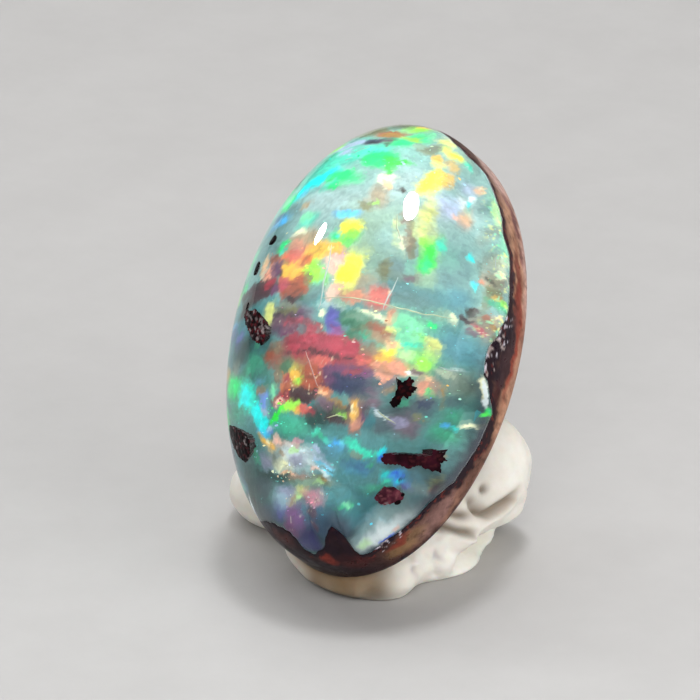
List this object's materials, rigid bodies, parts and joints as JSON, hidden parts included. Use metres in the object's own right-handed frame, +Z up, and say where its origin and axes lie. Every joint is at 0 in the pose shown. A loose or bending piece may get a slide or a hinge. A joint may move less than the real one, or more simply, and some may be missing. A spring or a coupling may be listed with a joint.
{
  "type": "opal cabochon in its matrix on putty",
  "caption": "Oval high-domed cabochon of clear precious opal on brown rhyolite, with dark rock splinters in its face, propped leaning back on a pressed lump of white putty.",
  "frame": {"origin": "middle of the putty's flat underside, where the part rests", "axes": "+Z up; the stone's domed face looks towards -Y and leans back, its long axis rising with a lean towards -X; +X to the right"},
  "size_m": [0.0108, 0.0122, 0.0139],
  "materials": {
    "clear_opal": "polished",
    "brown_rhyolite": "satin",
    "dark_rock": "satin",
    "white_putty": "matte"
  },
  "bodies": {
    "root": {"opal": "clear_opal", "rhyolite_matrix": "brown_rhyolite", "rock_bar": "dark_rock", "rock_cross": "dark_rock", "rock_leaf": "dark_rock", "rock_flake": "dark_rock", "rock_bead": "dark_rock", "mounting_putty": "white_putty"}
  },
  "joints": []
}
